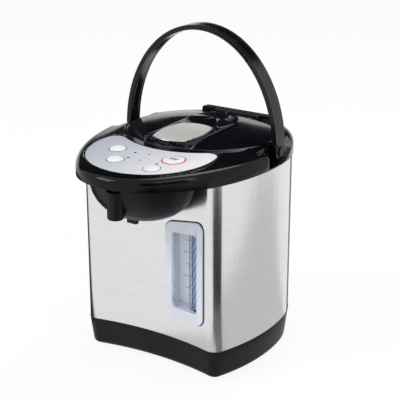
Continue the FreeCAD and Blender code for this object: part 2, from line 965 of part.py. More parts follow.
def crescent(grow, z0, z1):
    """Crescent of the panel, grown by a margin, in the panel's frame."""
    shape = upright(0, panel_centre_y, panel_radius + grow, z0, z1)
    shape = shape.cut(upright(0, panel_inner_y, panel_inner_radius - grow, z0, z1))
    edges = [edge for edge in shape.Edges if edge.Length < z1 - z0 + fit
             and abs(edge.tangentAt(edge.FirstParameter).z) > 0.9 and abs(edge.Vertexes[0].X) > 1]
    return shape.makeFillet(panel_corner + grow, edges)


def pocket_block(margin):
    """Recess for one arm of the bail, wider behind because the arch narrows upwards."""
    shape = pocket_channel(margin, pocket_wall_x)
    back = pocket_channel(margin, pocket_wall_x - pocket_back_step)
    start = bail_y + pocket_back_start - margin
    back = back.common(box(0, 2 * collar_width, start, collar_length,
                           well_floor_z - margin, 2 * rim_z))
    return fuse([shape, back])


def pocket_channel(margin, wall_x):
    """Channel beside a wall, with a sloped floor for the arm laid back."""
    swing = math.radians(bail_swing)
    half = bail_depth / 2 + pocket_gap
    floor_z = bail_z - half - margin
    slope = 1 / math.tan(swing)
    drop = (half + margin) / math.sin(swing)
    start_y = bail_y + (floor_z - bail_z + drop) / slope
    end_y = collar_length / 2
    end_z = bail_z - drop + (end_y - bail_y) * slope
    high = crown_z + collar_height
    x = wall_x - margin
    front = pocket_front_y - margin
    corners = [Vector(x, front, high), Vector(x, front, floor_z), Vector(x, start_y, floor_z),
               Vector(x, end_y, end_z), Vector(x, end_y, high + end_z)]
    face = Part.Face(Part.makePolygon(corners + corners[:1]))
    return face.extrude(Vector(collar_width, 0, 0))


def collar():
    """Black collar moulding: rim, deck, lid well, bail pockets and hinge lugs."""
    block = collar_block()
    hollow_top = rim_z - deck_wall
    hollow = rim.prism(rim_inset - collar_wall, shell_top_z + collar_wall, hollow_top)
    hollow = hollow.cut(nose_side(shell_top_z + collar_wall, True))
    shape = block.cut(hollow)
    shape = shape.cut(body_prism(lip_inset + lip_wall, shell_top_z, shell_top_z + collar_wall))
    well = lid.prism(lid_gap + well_wall, ledge_bottom_z, hollow_top)
    ledge = upright(0, vessel_y, clamp_radius, ledge_bottom_z, well_floor_z)
    skirt = body_band(lip_inset, lip_inset + lip_wall, shell_top_z - skirt_depth,
                      shell_top_z + collar_wall)
    skirt = skirt.cut(hood_loft(0).common(box(-collar_width, collar_width, -collar_length,
                                              0, shell_top_z, crown_z)))
    hinge_block = box(-hinge_block_x, hinge_block_x, lid_back_y - hinge_lug_width,
                      hinge_cover_back_y, ledge_bottom_z, crown_z).common(block)
    walls = both_sides(pocket_block(pocket_wall).common(block))
    bezel = place_on_panel(crescent(panel_bezel, -2 * panel_thickness, panel_bezel_proud))
    posts = []
    for angle in board_post_angles:
        turn = math.radians(angle)
        posts.append(place_on_panel(upright(board_post_circle * math.cos(turn),
                                            panel_centre_y + board_post_circle * math.sin(turn),
                                            board_post_radius, -board_depth, -panel_thickness - 1)))
    lugs = both_sides(crosswise(hinge_y, hinge_z, hinge_knuckle_radius,
                                hinge_knuckle_half_length + hinge_gap, hinge_block_x))
    shape = fuse([shape, well, ledge, skirt, hinge_block, bezel] + walls + posts)
    shape = shape.cut(lid.prism(lid_gap, well_floor_z, crown_z + collar_height))
    shape = shape.cut(upright(0, vessel_y, mouth_radius, ledge_bottom_z, crown_z))
    trough_half = hinge_knuckle_half_length + hinge_gap
    reach = hinge_knuckle_radius + hinge_gap
    shape = shape.cut(crosswise(hinge_y, hinge_z, reach, -trough_half, trough_half))
    shape = shape.cut(box(-trough_half, trough_half, lid_back_y - 2 * reach, hinge_y + reach,
                          hinge_z, crown_z + collar_height))
    shape = shape.cut(box(-trough_half, trough_half, lid_back_y - 2 * reach, hinge_y,
                          hinge_z - reach, hinge_z))
    shape = fuse([shape] + lugs)
    shape = shape.cut(crosswise(hinge_y, hinge_z, hinge_pin_radius + fit,
                                -hinge_block_x, hinge_block_x))
    for pocket in both_sides(pocket_block(0)):
        shape = shape.cut(pocket)
    for boss in both_sides(crosswise(bail_y, bail_z, bail_boss_radius, pocket_wall_x - 1,
                                     bail_inner_x - bail_boss_gap)):
        shape = shape.fuse(boss)
    shape = shape.cut(crosswise(bail_y, bail_z, bail_pin_radius + fit, -collar_width, collar_width)
                      .cut(box(-bail_pin_start, bail_pin_start, 0, collar_length, 0, crown_z)))
    shape = shape.cut(place_on_panel(crescent(panel_gap, -panel_thickness, collar_height)))
    shape = shape.cut(place_on_panel(crescent(-panel_ledge, switch_height - board_depth,
                                              collar_height)))
    shape = shape.cut(box(-bolt_half_width - bolt_gap, bolt_half_width + bolt_gap,
                          lid_front_y - lid_gap - bolt_reach - 1, lid_front_y,
                          bolt_z - bolt_gap, bolt_z + bolt_thickness + bolt_gap))
    shape = shape.cut(hood_loft(hood_wall).common(box(-collar_width, collar_width, -collar_length,
                                                      0, shell_top_z, ledge_bottom_z)))
    for x, y in clamp_screw_places():
        shape = shape.cut(upright(x, y, screw_radius + fit, 0, ledge_bottom_z + clamp_thickness))
    return shape.cut(spout_hose_route(hose_clear)).removeSplitter()


hinge_block_x = hinge_knuckle_half_length + hinge_gap + hinge_lug_width
bail_inner_x = bail_width / 2 - bail_thickness
bail_pin_start = pocket_wall_x - pocket_wall
bolt_z = lid_floor_z + lid_floor_thickness + bolt_gap


# Spout

def hood_loft(wall):
    """Bowl of the spout hood: ellipses that shrink to its lowest point."""
    wires = []
    depth = hood_depth - wall
    for step in range(hood_steps + 1):
        drop = math.sin(math.radians(hood_last_angle * step / hood_steps))
        size = (1 - drop ** hood_power) ** (1 / hood_power)
        across = max((hood_half_width - wall) * size, 2 * hood_wall)
        along = max((hood_reach - wall) * size, hood_wall)
        middle = Vector(0, hood_centre_y, hood_top_z + collar_wall - (depth + collar_wall) * drop)
        ellipse = Part.Ellipse(middle, across, along)
        wires.append(Part.Wire(ellipse.toShape()))
    return Part.makeLoft(wires, True, True)


def nozzle_web(margin):
    """Fin that ties the nozzle to the hood."""
    half = web_half_width + margin
    return box(-half, half, nozzle_y, web_back_y, web_bottom_z, web_top_z)


def spout_hood():
    """Black bowl under the collar's nose."""
    shape = hood_loft(0).cut(hood_loft(hood_wall))
    shape = shape.cut(nose_side(shell_top_z, False))
    shape = shape.cut(box(-collar_width, collar_width, nose_lift_start, collar_length,
                          shell_top_z, crown_z))
    shape = shape.cut(body_prism(-hood_body_gap, 0, crown_z))
    shape = shape.cut(upright(0, nozzle_y, nozzle_radius + fit, 0, crown_z))
    shape = shape.cut(nozzle_web(fit))
    shape = shape.cut(cup_lever_slot())
    ears = both_sides(crosswise(cup_lever_y, cup_lever_z, cup_lever_ear,
                                cup_lever_half_width + cup_lever_gap,
                                cup_lever_pin_half_length + 1))
    shape = fuse([shape] + ears)
    return shape.cut(cup_lever_pin())


def spout_nozzle():
    """Nozzle that the water leaves by, with its fin."""
    tube = upright(0, nozzle_y, nozzle_radius, nozzle_bottom_z, nozzle_top_z)
    low = [edge for edge in tube.Edges if edge.BoundBox.ZMax < nozzle_bottom_z + fit]
    tube = tube.makeFillet(nozzle_edge, low)
    shape = fuse([tube, nozzle_web(0)])
    shape = shape.cut(upright(0, nozzle_y, nozzle_bore, 0, nozzle_socket_z))
    return shape.cut(spout_hose_route(fit))


def cup_lever_slot():
    """Slot in the hood's floor for the cup lever."""
    half = cup_lever_half_width + cup_lever_gap
    back = cup_lever_radius + cup_lever_gap + cup_lever_drop * math.sin(math.radians(cup_lever_swing))
    return box(-half, half, cup_lever_y - cup_lever_radius - cup_lever_gap, cup_lever_y + back,
               0, cup_lever_z + cup_lever_radius + cup_lever_gap)


def cup_lever():
    """Lever that a cup pushes back."""
    half = cup_lever_half_width
    hub = crosswise(cup_lever_y, cup_lever_z, cup_lever_radius, -half, half)
    front = cup_lever_y - cup_lever_thickness / 2
    blade = box(-half, half, front, front + cup_lever_thickness,
                cup_lever_z - cup_lever_drop, cup_lever_z)
    shape = fuse([hub, blade])
    return shape.cut(crosswise(cup_lever_y, cup_lever_z, cup_lever_pin_radius + fit, -half, half))


def cup_lever_pin():
    """Pin that the cup lever turns on."""
    return crosswise(cup_lever_y, cup_lever_z, cup_lever_pin_radius,
                     -cup_lever_pin_half_length, cup_lever_pin_half_length)


# Control panel

def oval_disc(place, size, grow, z0, z1):
    """Upright oval cylinder in the panel's frame."""
    x, y = place
    across = size[0] / 2 + grow
    along = size[1] / 2 + grow
    middle = Vector(x, y, z0)
    if along > across:
        ellipse = Part.Ellipse(Vector(x, y + along, z0), Vector(x + across, y, z0), middle)
    else:
        ellipse = Part.Ellipse(Vector(x + across, y, z0), Vector(x, y + along, z0), middle)
    return prism(Part.Wire(ellipse.toShape()), z1 - z0)


def dispense_ring():
    """Red ring round the dispense button."""
    high = panel_bezel_proud
    shape = oval_disc(dispense_place, dispense_size, ring_width, -panel_thickness, high)
    hole = oval_disc(dispense_place, dispense_size, button_side_gap, -panel_thickness, high)
    return place_on_panel(shape.cut(hole))


def control_panel():
    """Pale crescent plate with holes for the buttons and lights."""
    shape = crescent(0, -panel_thickness, 0)
    for place in button_places:
        shape = shape.cut(oval_disc(place, button_size, button_side_gap, -panel_thickness, 0))
    shape = shape.cut(oval_disc(dispense_place, dispense_size, ring_width, -panel_thickness, 0))
    for x, y in dark_light_places + red_light_places:
        shape = shape.cut(upright(x, y, light_radius + fit, -panel_thickness, 0))
    return place_on_panel(shape)


def push_button(place, size):
    """Button with a flange that keeps it under the panel."""
    top = -panel_thickness - button_gap
    cap = oval_disc(place, size, 0, top - button_flange_thickness, button_proud)
    flange = oval_disc(place, size, button_flange, top - button_flange_thickness, top)
    x, y = place
    stem = upright(x, y, switch_side / 2, -button_depth, top)
    return place_on_panel(fuse([cap, flange, stem]))


def lights(places):
    """Light guides that stand on the board and show in the panel."""
    return Part.makeCompound([
        place_on_panel(upright(x, y, light_radius, -board_depth, 0)) for x, y in places
    ])


def control_board():
    """Circuit board under the panel, hung from the collar's posts."""
    low = -board_depth - board_thickness
    shape = upright(0, panel_centre_y, board_radius, low, -board_depth)
    shape = shape.cut(upright(0, panel_inner_y, board_inner_radius, low, -board_depth))
    return place_on_panel(shape)


def tact_switches():
    """A small switch under each button."""
    half = switch_side / 2
    return Part.makeCompound([
        place_on_panel(box(x - half, x + half, y - half, y + half, -board_depth,
                           switch_height - board_depth))
        for x, y in button_places + (dispense_place,)
    ])


# Lid

def lid_levels():
    """Offsets and heights over the lid's rounded edge and shallow crown."""
    levels = [(0, lid_floor_z), (0, crown_z - lid_edge_round)]
    for step in range(1, 4):
        turn = math.radians(30 * step)
        levels.append((lid_edge_round * (math.cos(turn) - 1),
                       crown_z - lid_edge_round * (1 - math.sin(turn))))
    for step in range(1, 6):
        share = step / 5
        levels.append((-lid_edge_round - share * lid_crown_reach,
                       crown_z + lid_crown * (1 - (1 - share) ** 2)))
    return levels


lid_roof_z = crown_z - lid_roof
plate_top_z = tongue_z
plate_low_z = plate_top_z - plate_thickness
plate_pin_z = tongue_z - plate_pin_drop


def tongue(z0, z1):
    """Raised tongue: straight sides closed by an arch behind."""
    arch = Part.Ellipse(Vector(0, tongue_back_y, z0), Vector(tongue_half_width, tongue_arch_y, z0),
                        Vector(0, tongue_arch_y, z0))
    back = prism(Part.Wire(arch.toShape()), z1 - z0)
    front = box(-tongue_half_width, tongue_half_width, lid_front_y, tongue_arch_y, z0, z1)
    return fuse([front, back]).common(lid.prism(-lid_edge_round, z0, z1))


def plate_block(margin, z0, z1):
    """Release plate outline, with rounded corners."""
    half = plate_half_width + margin
    block = box(-half, half, plate_front_y - margin, plate_back_y + margin, z0, z1)
    edges = [edge for edge in block.Edges if abs(edge.tangentAt(0).z) > 0.9]
    return block.makeFillet(plate_corner + margin, edges)


def lid_outer():
    """Upper lid shell with its tongue, hinge knuckle and recesses."""
    shape = Part.makeLoft([lid.wire(offset, z) for offset, z in lid_levels()], True, True)
    shape = fuse([shape, tongue(lid_floor_z, tongue_z)])
    shape = shape.cut(lid.prism(-lid_wall, lid_floor_z, lid_roof_z))
    web = box(-hinge_web_half_width, hinge_web_half_width, lid_back_y - 2 * hinge_knuckle_radius,
              hinge_y, hinge_z - hinge_web_thickness / 2, hinge_z + hinge_web_thickness / 2)
    knuckle = crosswise(hinge_y, hinge_z, hinge_knuckle_radius,
                        -hinge_knuckle_half_length, hinge_knuckle_half_length)
    shape = fuse([shape, web, knuckle])
    shape = shape.cut(crosswise(hinge_y, hinge_z, hinge_pin_radius + fit,
                                -hinge_knuckle_half_length, hinge_knuckle_half_length))
    shape = shape.cut(plate_block(plate_gap, plate_low_z, plate_top_z))
    lug_reach = plate_lug_radius + plate_gap
    room = plate_block(plate_gap, lid_roof_z + lid_roof, plate_top_z)
    room = room.fuse(room.translated(Vector(0, plate_swing_room, 0)))
    shape = shape.cut(room.common(box(-lid_width, lid_width, plate_pin_y - lug_reach, lid_back_y,
                                      0, tongue_z)))
    lug_half = plate_lug_x + plate_lug_width / 2 + plate_gap
    shape = shape.cut(box(-lug_half, lug_half, plate_pin_y - lug_reach, plate_pin_y + lug_reach,
                          lid_floor_z, plate_top_z))
    shape = shape.cut(release_pin_rod(fit))
    shape = shape.cut(box(-bolt_half_width - fit, bolt_half_width + fit, 2 * lid_front_y,
                          lid_front_y + 2 * lid_wall, bolt_z - fit, bolt_z + bolt_thickness + fit))
    shape = shape.cut(upright(0, steam_y, steam_radius + fit, tongue_z - steam_height + steam_proud,
                              tongue_z + steam_proud))
    return shape.cut(upright(0, steam_y, steam_bore, lid_floor_z, tongue_z))


def lid_inner():
    """Lower lid cover with the cup that closes the vessel's mouth."""
    top = lid_floor_z + lid_floor_thickness
    plate = lid.prism(-lid_wall - fit, lid_floor_z, top)
    cup = upright(0, vessel_y, lid_cup_radius, lid_floor_z - lid_cup_depth, top)
    inside = upright(0, vessel_y, lid_cup_radius - lid_cup_wall,
                     lid_floor_z - lid_cup_depth + lid_cup_wall, lid_floor_z)
    shape = fuse([plate, cup]).cut(inside)
    return shape.cut(upright(0, steam_y, steam_bore, 0, top))


def lid_gasket():
    """Ring seal round the lid's cup."""
    low = well_floor_z + gasket_gap
    shape = upright(0, vessel_y, lid_cup_radius + gasket_reach, low, lid_floor_z)
    lid_only = lid.prism(-lid_wall, low, lid_floor_z)
    shape = shape.common(lid_only)
    return shape.cut(upright(0, vessel_y, lid_cup_radius + fit, low, lid_floor_z))


def release_pin_rod(grow):
    """Rod that the release plate turns on, grown for its bore."""
    return crosswise(plate_pin_y, plate_pin_z, plate_pin_radius + grow,
                     -plate_pin_half_length - grow, plate_pin_half_length + grow)


def release_lever():
    """Silver release plate with two lugs on its pin."""
    parts = [plate_block(0, plate_low_z, plate_top_z)]
    for x in (-plate_lug_x, plate_lug_x):
        left = x - plate_lug_width / 2
        right = x + plate_lug_width / 2
        parts.append(crosswise(plate_pin_y, plate_pin_z, plate_lug_radius, left, right))
        parts.append(box(left, right, plate_pin_y - plate_lug_radius, plate_pin_y + plate_lug_radius,
                         plate_pin_z, plate_low_z + 1))
    return fuse(parts).cut(release_pin_rod(fit))


def latch_bolt():
    """Bolt that holds the lid's front under the collar."""
    front = lid_front_y - lid_gap - bolt_reach
    return box(-bolt_half_width, bolt_half_width, front, front + bolt_length,
               bolt_z, bolt_z + bolt_thickness)


def lever_spring():
    """Coil spring round the release plate's pin."""
    length = lever_spring_turns * lever_spring_pitch
    helix = Part.makeLongHelix(lever_spring_pitch, length, lever_spring_radius)
    section = Part.Wire(Part.Circle(Vector(lever_spring_radius, 0, 0), Vector(0, 1, 0),
                                    lever_spring_wire / 2).toShape())
    coil = Part.Wire(helix).makePipeShell([section], True, True)
    coil.rotate(Vector(0, 0, 0), Vector(0, 1, 0), 90)
    coil.translate(Vector(-length / 2, plate_pin_y, plate_pin_z))
    return coil


def steam_cap():
    """Slotted cap over the steam outlet."""
    low = tongue_z - steam_height + steam_proud
    shape = upright(0, steam_y, steam_radius, low, tongue_z + steam_proud)
    for step in (-1, 0, 1):
        y = steam_y + 2 * step * steam_slot
        shape = shape.cut(box(-steam_radius / 2, steam_radius / 2, y - steam_slot / 2,
                              y + steam_slot / 2, low, tongue_z + steam_proud))
    return shape


def hinge_pin():
    """Pin of the lid hinge."""
    return crosswise(hinge_y, hinge_z, hinge_pin_radius,
                     -hinge_pin_half_length, hinge_pin_half_length)


def hinge_cover():
    """Cover over the lid hinge, notched for the lid."""
    clear = hinge_knuckle_radius + hinge_gap
    shape = box(-hinge_block_x, hinge_block_x, hinge_y - hinge_knuckle_radius, hinge_cover_back_y,
                hinge_z, crown_z + hinge_cover_height)
    shape = shape.cut(crosswise(hinge_y, hinge_z, clear, -hinge_block_x, hinge_block_x))
    notch = hinge_web_half_width + 1
    shape = shape.cut(box(-notch, notch, 0, hinge_y, hinge_z, tongue_z + 1))
    shape = shape.cut(box(-hinge_block_x, hinge_block_x, hinge_y - 2 * clear, hinge_cover_back_y,
                          hinge_z, crown_z).common(collar_block()))
    return shape.cut(box(-hinge_block_x, hinge_block_x, 0, hinge_y + clear, hinge_z - 1, crown_z))


# Bail

def bail_arch(inset_out, inset_in, depth):
    """Band of the bail's elliptical arch above its pivots."""
    solids = []
    for inset in (inset_out, inset_in):
        middle = Vector(0, bail_y - depth / 2, bail_z)
        top = Vector(0, bail_y - depth / 2, bail_z + bail_height - inset)
        side = Vector(bail_width / 2 - inset, bail_y - depth / 2, bail_z)
        ellipse = Part.Ellipse(top, side, middle)
        disc = Part.Face(Part.Wire(ellipse.toShape()))
        solids.append(disc.extrude(Vector(0, depth, 0)))
    upper = box(-bail_width, bail_width, 0, collar_length, bail_z, bail_z + 2 * bail_height)
    return solids[0].cut(solids[1]).common(upper)


def bail():
    """Carrying bail: one arch with a round eye at each foot."""
    parts = [bail_arch(0, bail_thickness, bail_depth)]
    parts += both_sides(crosswise(bail_y, bail_z, bail_depth / 2, bail_inner_x, bail_width / 2))
    shape = fuse(parts)
    return shape.cut(crosswise(bail_y, bail_z, bail_pin_radius + fit, -bail_width, bail_width))


def bail_grip():
    """Grip under the crown of the bail, closed round its edges."""
    shape = bail_arch(grip_cover, grip_thickness, grip_depth)
    shape = shape.common(box(-grip_half_length, grip_half_length, 0, collar_length,
                             bail_z, bail_z + bail_height))
    return shape.cut(bail_arch(-fit, bail_thickness + fit, bail_depth + 2 * fit))


def bail_pins():
    """Headed pins that the bail turns on."""
    head_x = bail_width / 2 + hinge_gap / 2
    start = bail_pin_start + fit
    pin = fuse([
        crosswise(bail_y, bail_z, bail_pin_radius, start, head_x + bail_pin_head),
        crosswise(bail_y, bail_z, bail_pin_head_radius, head_x, head_x + bail_pin_head),
    ])
    return Part.makeCompound(both_sides(pin))


nodes = {
    "base_ring": base_ring,
    "bottom_cover": bottom_cover,
    "bottom_screws": bottom_screws,
    "rubber_feet": rubber_feet,
    "outer_shell": outer_shell,
    "rear_panel": rear_panel,
    "inlet_housing": inlet_housing,
    "inlet_pins": inlet_pins,
    "window_frame": window_frame,
    "window_lens": window_lens,
    "level_plate": level_plate,
    "sight_tube": sight_tube,
    "inner_vessel": inner_vessel,
    "vessel_gasket": vessel_gasket,
    "clamp_ring": clamp_ring,
    "clamp_screws": clamp_screws,
    "heater": heater,
    "thermostat": thermostat,
    "thermal_fuse": thermal_fuse,
    "pump_mount": pump_mount,
    "pump_motor": pump_motor,
    "pump_housing": pump_housing,
    "impeller": impeller,
    "inlet_hose": inlet_hose,
    "outlet_hose": outlet_hose,
    "spout_hose": spout_hose,
    "power_board": power_board,
    "collar": collar,
    "spout_hood": spout_hood,
    "spout_nozzle": spout_nozzle,
    "cup_lever": cup_lever,
    "cup_lever_pin": cup_lever_pin,
    "control_panel": control_panel,
    "dispense_ring": dispense_ring,
    "control_board": control_board,
    "tact_switches": tact_switches,
    "lid_outer": lid_outer,
    "lid_inner": lid_inner,
    "lid_gasket": lid_gasket,
    "release_lever": release_lever,
    "release_pin": lambda: release_pin_rod(0),
    "latch_bolt": latch_bolt,
    "lever_spring": lever_spring,
    "steam_cap": steam_cap,
    "hinge_pin": hinge_pin,
    "hinge_cover": hinge_cover,
    "bail": bail,
    "bail_grip": bail_grip,
    "bail_pins": bail_pins,
    "dark_lights": lambda: lights(dark_light_places),
    "red_lights": lambda: lights(red_light_places),
    "dispense_button": lambda: push_button(dispense_place, dispense_size),
}

for name, make in nodes.items():
    make().exportStep("parts/" + name + ".step")

for name, place in zip(button_names, button_places):
    push_button(place, button_size).exportStep("parts/" + name + ".step")
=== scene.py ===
import json
import math

import bpy
from mathutils import Matrix, Vector


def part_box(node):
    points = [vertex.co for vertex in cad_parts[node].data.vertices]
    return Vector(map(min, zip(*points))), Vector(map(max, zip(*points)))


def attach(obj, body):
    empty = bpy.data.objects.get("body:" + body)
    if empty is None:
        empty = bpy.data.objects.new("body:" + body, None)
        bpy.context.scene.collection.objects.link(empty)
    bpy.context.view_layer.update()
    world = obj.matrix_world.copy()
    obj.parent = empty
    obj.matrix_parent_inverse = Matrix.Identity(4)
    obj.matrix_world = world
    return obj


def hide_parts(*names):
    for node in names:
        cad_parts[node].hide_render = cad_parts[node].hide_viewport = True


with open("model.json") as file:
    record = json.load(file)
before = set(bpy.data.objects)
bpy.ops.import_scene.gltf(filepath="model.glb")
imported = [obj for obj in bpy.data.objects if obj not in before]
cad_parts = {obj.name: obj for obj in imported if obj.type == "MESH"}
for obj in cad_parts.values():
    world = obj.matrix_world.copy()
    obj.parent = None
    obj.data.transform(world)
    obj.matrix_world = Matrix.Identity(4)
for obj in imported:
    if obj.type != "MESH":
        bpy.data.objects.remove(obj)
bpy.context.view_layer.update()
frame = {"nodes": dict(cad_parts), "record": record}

MM = 0.001

# Places and sizes shared by several pieces, in millimetres and degrees.
PANEL_Y = -84.0
PANEL_Z = 250.2
PANEL_TILT = 2.25
PANEL_HALF_WIDTH = 75
BAIL_MIDDLE_Y = 45.7
BAIL_PIVOT_Z = 241.5
BAIL_HALF_WIDTH = 102.0
BAIL_HEIGHT = 131.5
GRIP_HALF_LENGTH = 62.0
WINDOW_X = 44.5
WINDOW_Z = 120.5

# Nearly all of a noise texture's values lie between these two.
NOISE_LOW = 0.3
NOISE_HIGH = 0.7

nodes = frame["nodes"]
bpy.ops.object.select_all(action="DESELECT")


# Colours and small node helpers

def linear(hex_colour):
    """Linear colour from an sRGB hex value."""
    channels = []
    for start in (0, 2, 4):
        value = int(hex_colour[start:start + 2], 16) / 255
        channels.append(value / 12.92 if value <= 0.04045 else ((value + 0.055) / 1.055) ** 2.4)
    return (*channels, 1.0)


def add(tree, kind, inputs=None, stops=(), **settings):
    """A node with its settings, colour stops, and inputs that are values or sockets."""
    node = tree.nodes.new(kind)
    for name, value in settings.items():
        setattr(node, name, value)
    if stops:
        elements = node.color_ramp.elements
        while len(elements) < len(stops):
            elements.new(0.5)
        for element, (position, colour) in zip(elements, stops):
            element.position = position
            element.color = colour
    for name, value in (inputs or {}).items():
        if isinstance(value, bpy.types.NodeSocket):
            tree.links.new(value, node.inputs[name])
        else:
            node.inputs[name].default_value = value
    return node


def new_material(name):
    """Empty node material with its shader and output joined."""
    material = bpy.data.materials.new(name)
    material.use_nodes = True
    tree = material.node_tree
    tree.nodes.clear()
    shader = add(tree, "ShaderNodeBsdfPrincipled")
    out = add(tree, "ShaderNodeOutputMaterial", {"Surface": shader.outputs["BSDF"]})
    return material, tree, shader, out


def object_position(tree, scale=(1, 1, 1), turn=(0, 0, 0)):
    """Object coordinates, scaled and turned."""
    place = add(tree, "ShaderNodeTexCoord")
    mapping = add(tree, "ShaderNodeMapping", {
        "Vector": place.outputs["Object"], "Scale": scale, "Rotation": turn,
    })
    return mapping.outputs["Vector"]


def grey(level):
    """Grey of one linear level."""
    return (level, level, level, 1.0)


def plastic(name, colour, second, rough, grain_mm, relief, specular=0.5):
    """Moulded plastic: fine grain in its relief, and slow drifts of tone and roughness."""
    drift_mm, grain_depth_mm = 40, 0.05
    material, tree, shader, _ = new_material(name)
    slow = add(tree, "ShaderNodeTexNoise", {
        "Vector": object_position(tree), "Scale": 1 / (drift_mm * MM), "Detail": 2.0,
    })
    tint = add(tree, "ShaderNodeValToRGB", {"Fac": slow.outputs["Fac"]},
               stops=[(0.35, linear(colour)), (0.75, linear(second))])
    tree.links.new(tint.outputs["Color"], shader.inputs["Base Color"])
    spread = add(tree, "ShaderNodeMapRange", {
        "Value": slow.outputs["Fac"], "From Min": NOISE_LOW, "From Max": NOISE_HIGH,
        "To Min": rough[0], "To Max": rough[1],
    })
    tree.links.new(spread.outputs["Result"], shader.inputs["Roughness"])
    shader.inputs["Specular IOR Level"].default_value = specular
    if relief:
        fine = add(tree, "ShaderNodeTexNoise", {
            "Vector": object_position(tree), "Scale": 1 / (grain_mm * MM), "Detail": 3.0,
        })
        grain = add(tree, "ShaderNodeBump", {
            "Height": fine.outputs["Fac"], "Strength": relief, "Distance": grain_depth_mm * MM,
        })
        tree.links.new(grain.outputs["Normal"], shader.inputs["Normal"])
    return material


def painted_panel_shading(material):
    """Paints shading into the panel film's colour: painted shade, grey on the left, fading to
    near white on the right.
    """
    tree = material.node_tree
    place = add(tree, "ShaderNodeTexCoord")
    parts = add(tree, "ShaderNodeSeparateXYZ", {"Vector": place.outputs["Object"]})
    across = add(tree, "ShaderNodeMapRange", {
        "Value": parts.outputs["X"],
        "From Min": -PANEL_HALF_WIDTH * MM, "From Max": PANEL_HALF_WIDTH * MM,
    })
    # Painted shading: the film's colour runs from grey on the left to near white on the right.
    fade = add(tree, "ShaderNodeValToRGB", {"Fac": across.outputs["Result"]}, stops=[
        (0.0, linear("AEB2BC")), (0.45, linear("C9CCD4")), (0.75, linear("DDDFE4")),
        (1.0, linear("E9EAEE")),
    ])
    tree.links.new(fade.outputs["Color"], tree.nodes["Principled BSDF"].inputs["Base Color"])


# Polished ABS: near black, sharp highlights, almost no grain.
gloss_black = plastic("abs_polished_black", "08080B", "0C0C10",
                      rough=(0.10, 0.16), grain_mm=0.6, relief=0.02, specular=0.18)
# ABS of the lid: the same moulding with a faint blue cast.
lid_black = plastic("abs_polished_blue_black", "070810", "0B0D18",
                    rough=(0.08, 0.14), grain_mm=0.6, relief=0.02, specular=0.3)
# Moulded ABS with a fine spark-eroded texture: soft highlights.
satin_black = plastic("abs_textured_black", "111215", "16171A",
                      rough=(0.32, 0.42), grain_mm=0.35, relief=0.2, specular=0.16)
# Glass-filled polyamide of hidden housings.
housing_grey = plastic("polyamide_moulded_grey", "303236", "3A3C40",
                       rough=(0.45, 0.6), grain_mm=0.4, relief=0.2)
# Vulcanised rubber: matt and dusty.
rubber = plastic("rubber_vulcanised_black", "141414", "202020",
                 rough=(0.75, 0.9), grain_mm=0.5, relief=0.4)
# Extruded silicone: milky and soft.
silicone = plastic("silicone_extruded_milky", "C9C9C2", "D8D8D0",
                   rough=(0.4, 0.55), grain_mm=0.5, relief=0.1)
# Moulded white ABS of the buttons.
white_plastic = plastic("abs_moulded_white", "F1F2F4", "E9EBEE",
                        rough=(0.22, 0.3), grain_mm=0.4, relief=0.05)
# Printed red ring: smooth film.
red_film = plastic("film_printed_red", "E0566A", "D84C60",
                   rough=(0.25, 0.35), grain_mm=0.4, relief=0.05)
# Smoked acrylic light guides.
dark_lens = plastic("acrylic_smoked", "10141C", "161B24",
                    rough=(0.1, 0.15), grain_mm=0.4, relief=0.0)
# Tinted acrylic light guides.
red_lens = plastic("acrylic_tinted_red", "D8785C", "CC6A50",
                   rough=(0.12, 0.2), grain_mm=0.4, relief=0.0)
# Printed polyester film on the control panel: pale silver-blue, with painted shading that makes
# it paler to the right.
panel_film = plastic("polyester_film_silver", "CDD0D8", "D8DAE0",
                     rough=(0.3, 0.38), grain_mm=0.25, relief=0.05)
painted_panel_shading(panel_film)
# Level plate: satin white polystyrene.
level_white = plastic("polystyrene_satin_white", "F6F7FC", "FAFBFF",
                      rough=(0.3, 0.4), grain_mm=0.4, relief=0.05)
# Epoxy circuit board with green solder mask.
board_green = plastic("epoxy_solder_mask_green", "14532B", "1B6034",
                      rough=(0.3, 0.4), grain_mm=0.5, relief=0.1)


def brushed(name, colour, second, rough, streak_mm, band_mm, line_mm, relief):
    """Brushed metal: long streaks along the brushing, in tone, roughness and relief."""
    lines_per_band, line_depth_mm = 9, 0.02
    material, tree, shader, _ = new_material(name)
    shader.inputs["Metallic"].default_value = 1.0
    scale = tuple(1 / (size * MM) for size in (streak_mm, streak_mm, line_mm))
    lines = add(tree, "ShaderNodeTexNoise", {
        "Vector": object_position(tree, scale), "Scale": 1.0, "Detail": 4.0,
    })
    wide = tuple(1 / (size * MM) for size in (band_mm, band_mm, line_mm * lines_per_band))
    bands = add(tree, "ShaderNodeTexNoise", {
        "Vector": object_position(tree, wide), "Scale": 1.0, "Detail": 2.0,
    })
    blend = add(tree, "ShaderNodeMath", {
        0: lines.outputs["Fac"], 1: bands.outputs["Fac"],
    }, operation="MULTIPLY")
    tint = add(tree, "ShaderNodeValToRGB", {"Fac": blend.outputs["Value"]},
               stops=[(0.12, linear(colour)), (0.42, linear(second))])
    tree.links.new(tint.outputs["Color"], shader.inputs["Base Color"])
    spread = add(tree, "ShaderNodeMapRange", {
        "Value": lines.outputs["Fac"], "From Min": NOISE_LOW, "From Max": NOISE_HIGH,
        "To Min": rough[0], "To Max": rough[1],
    })
    tree.links.new(spread.outputs["Result"], shader.inputs["Roughness"])
    scratches = add(tree, "ShaderNodeBump", {
        "Height": lines.outputs["Fac"], "Strength": relief, "Distance": line_depth_mm * MM,
    })
    tree.links.new(scratches.outputs["Normal"], shader.inputs["Normal"])
    return material


# Stainless sheet brushed sideways: lines that spread highlights upright, drawn coarser than
# real brushing, 0.25 mm apart, so that they show.
steel = brushed("stainless_steel_brushed", "DCDCDD", "E2E2E3", rough=(0.20, 0.24),
                streak_mm=60, band_mm=200, line_mm=0.25, relief=0.03)
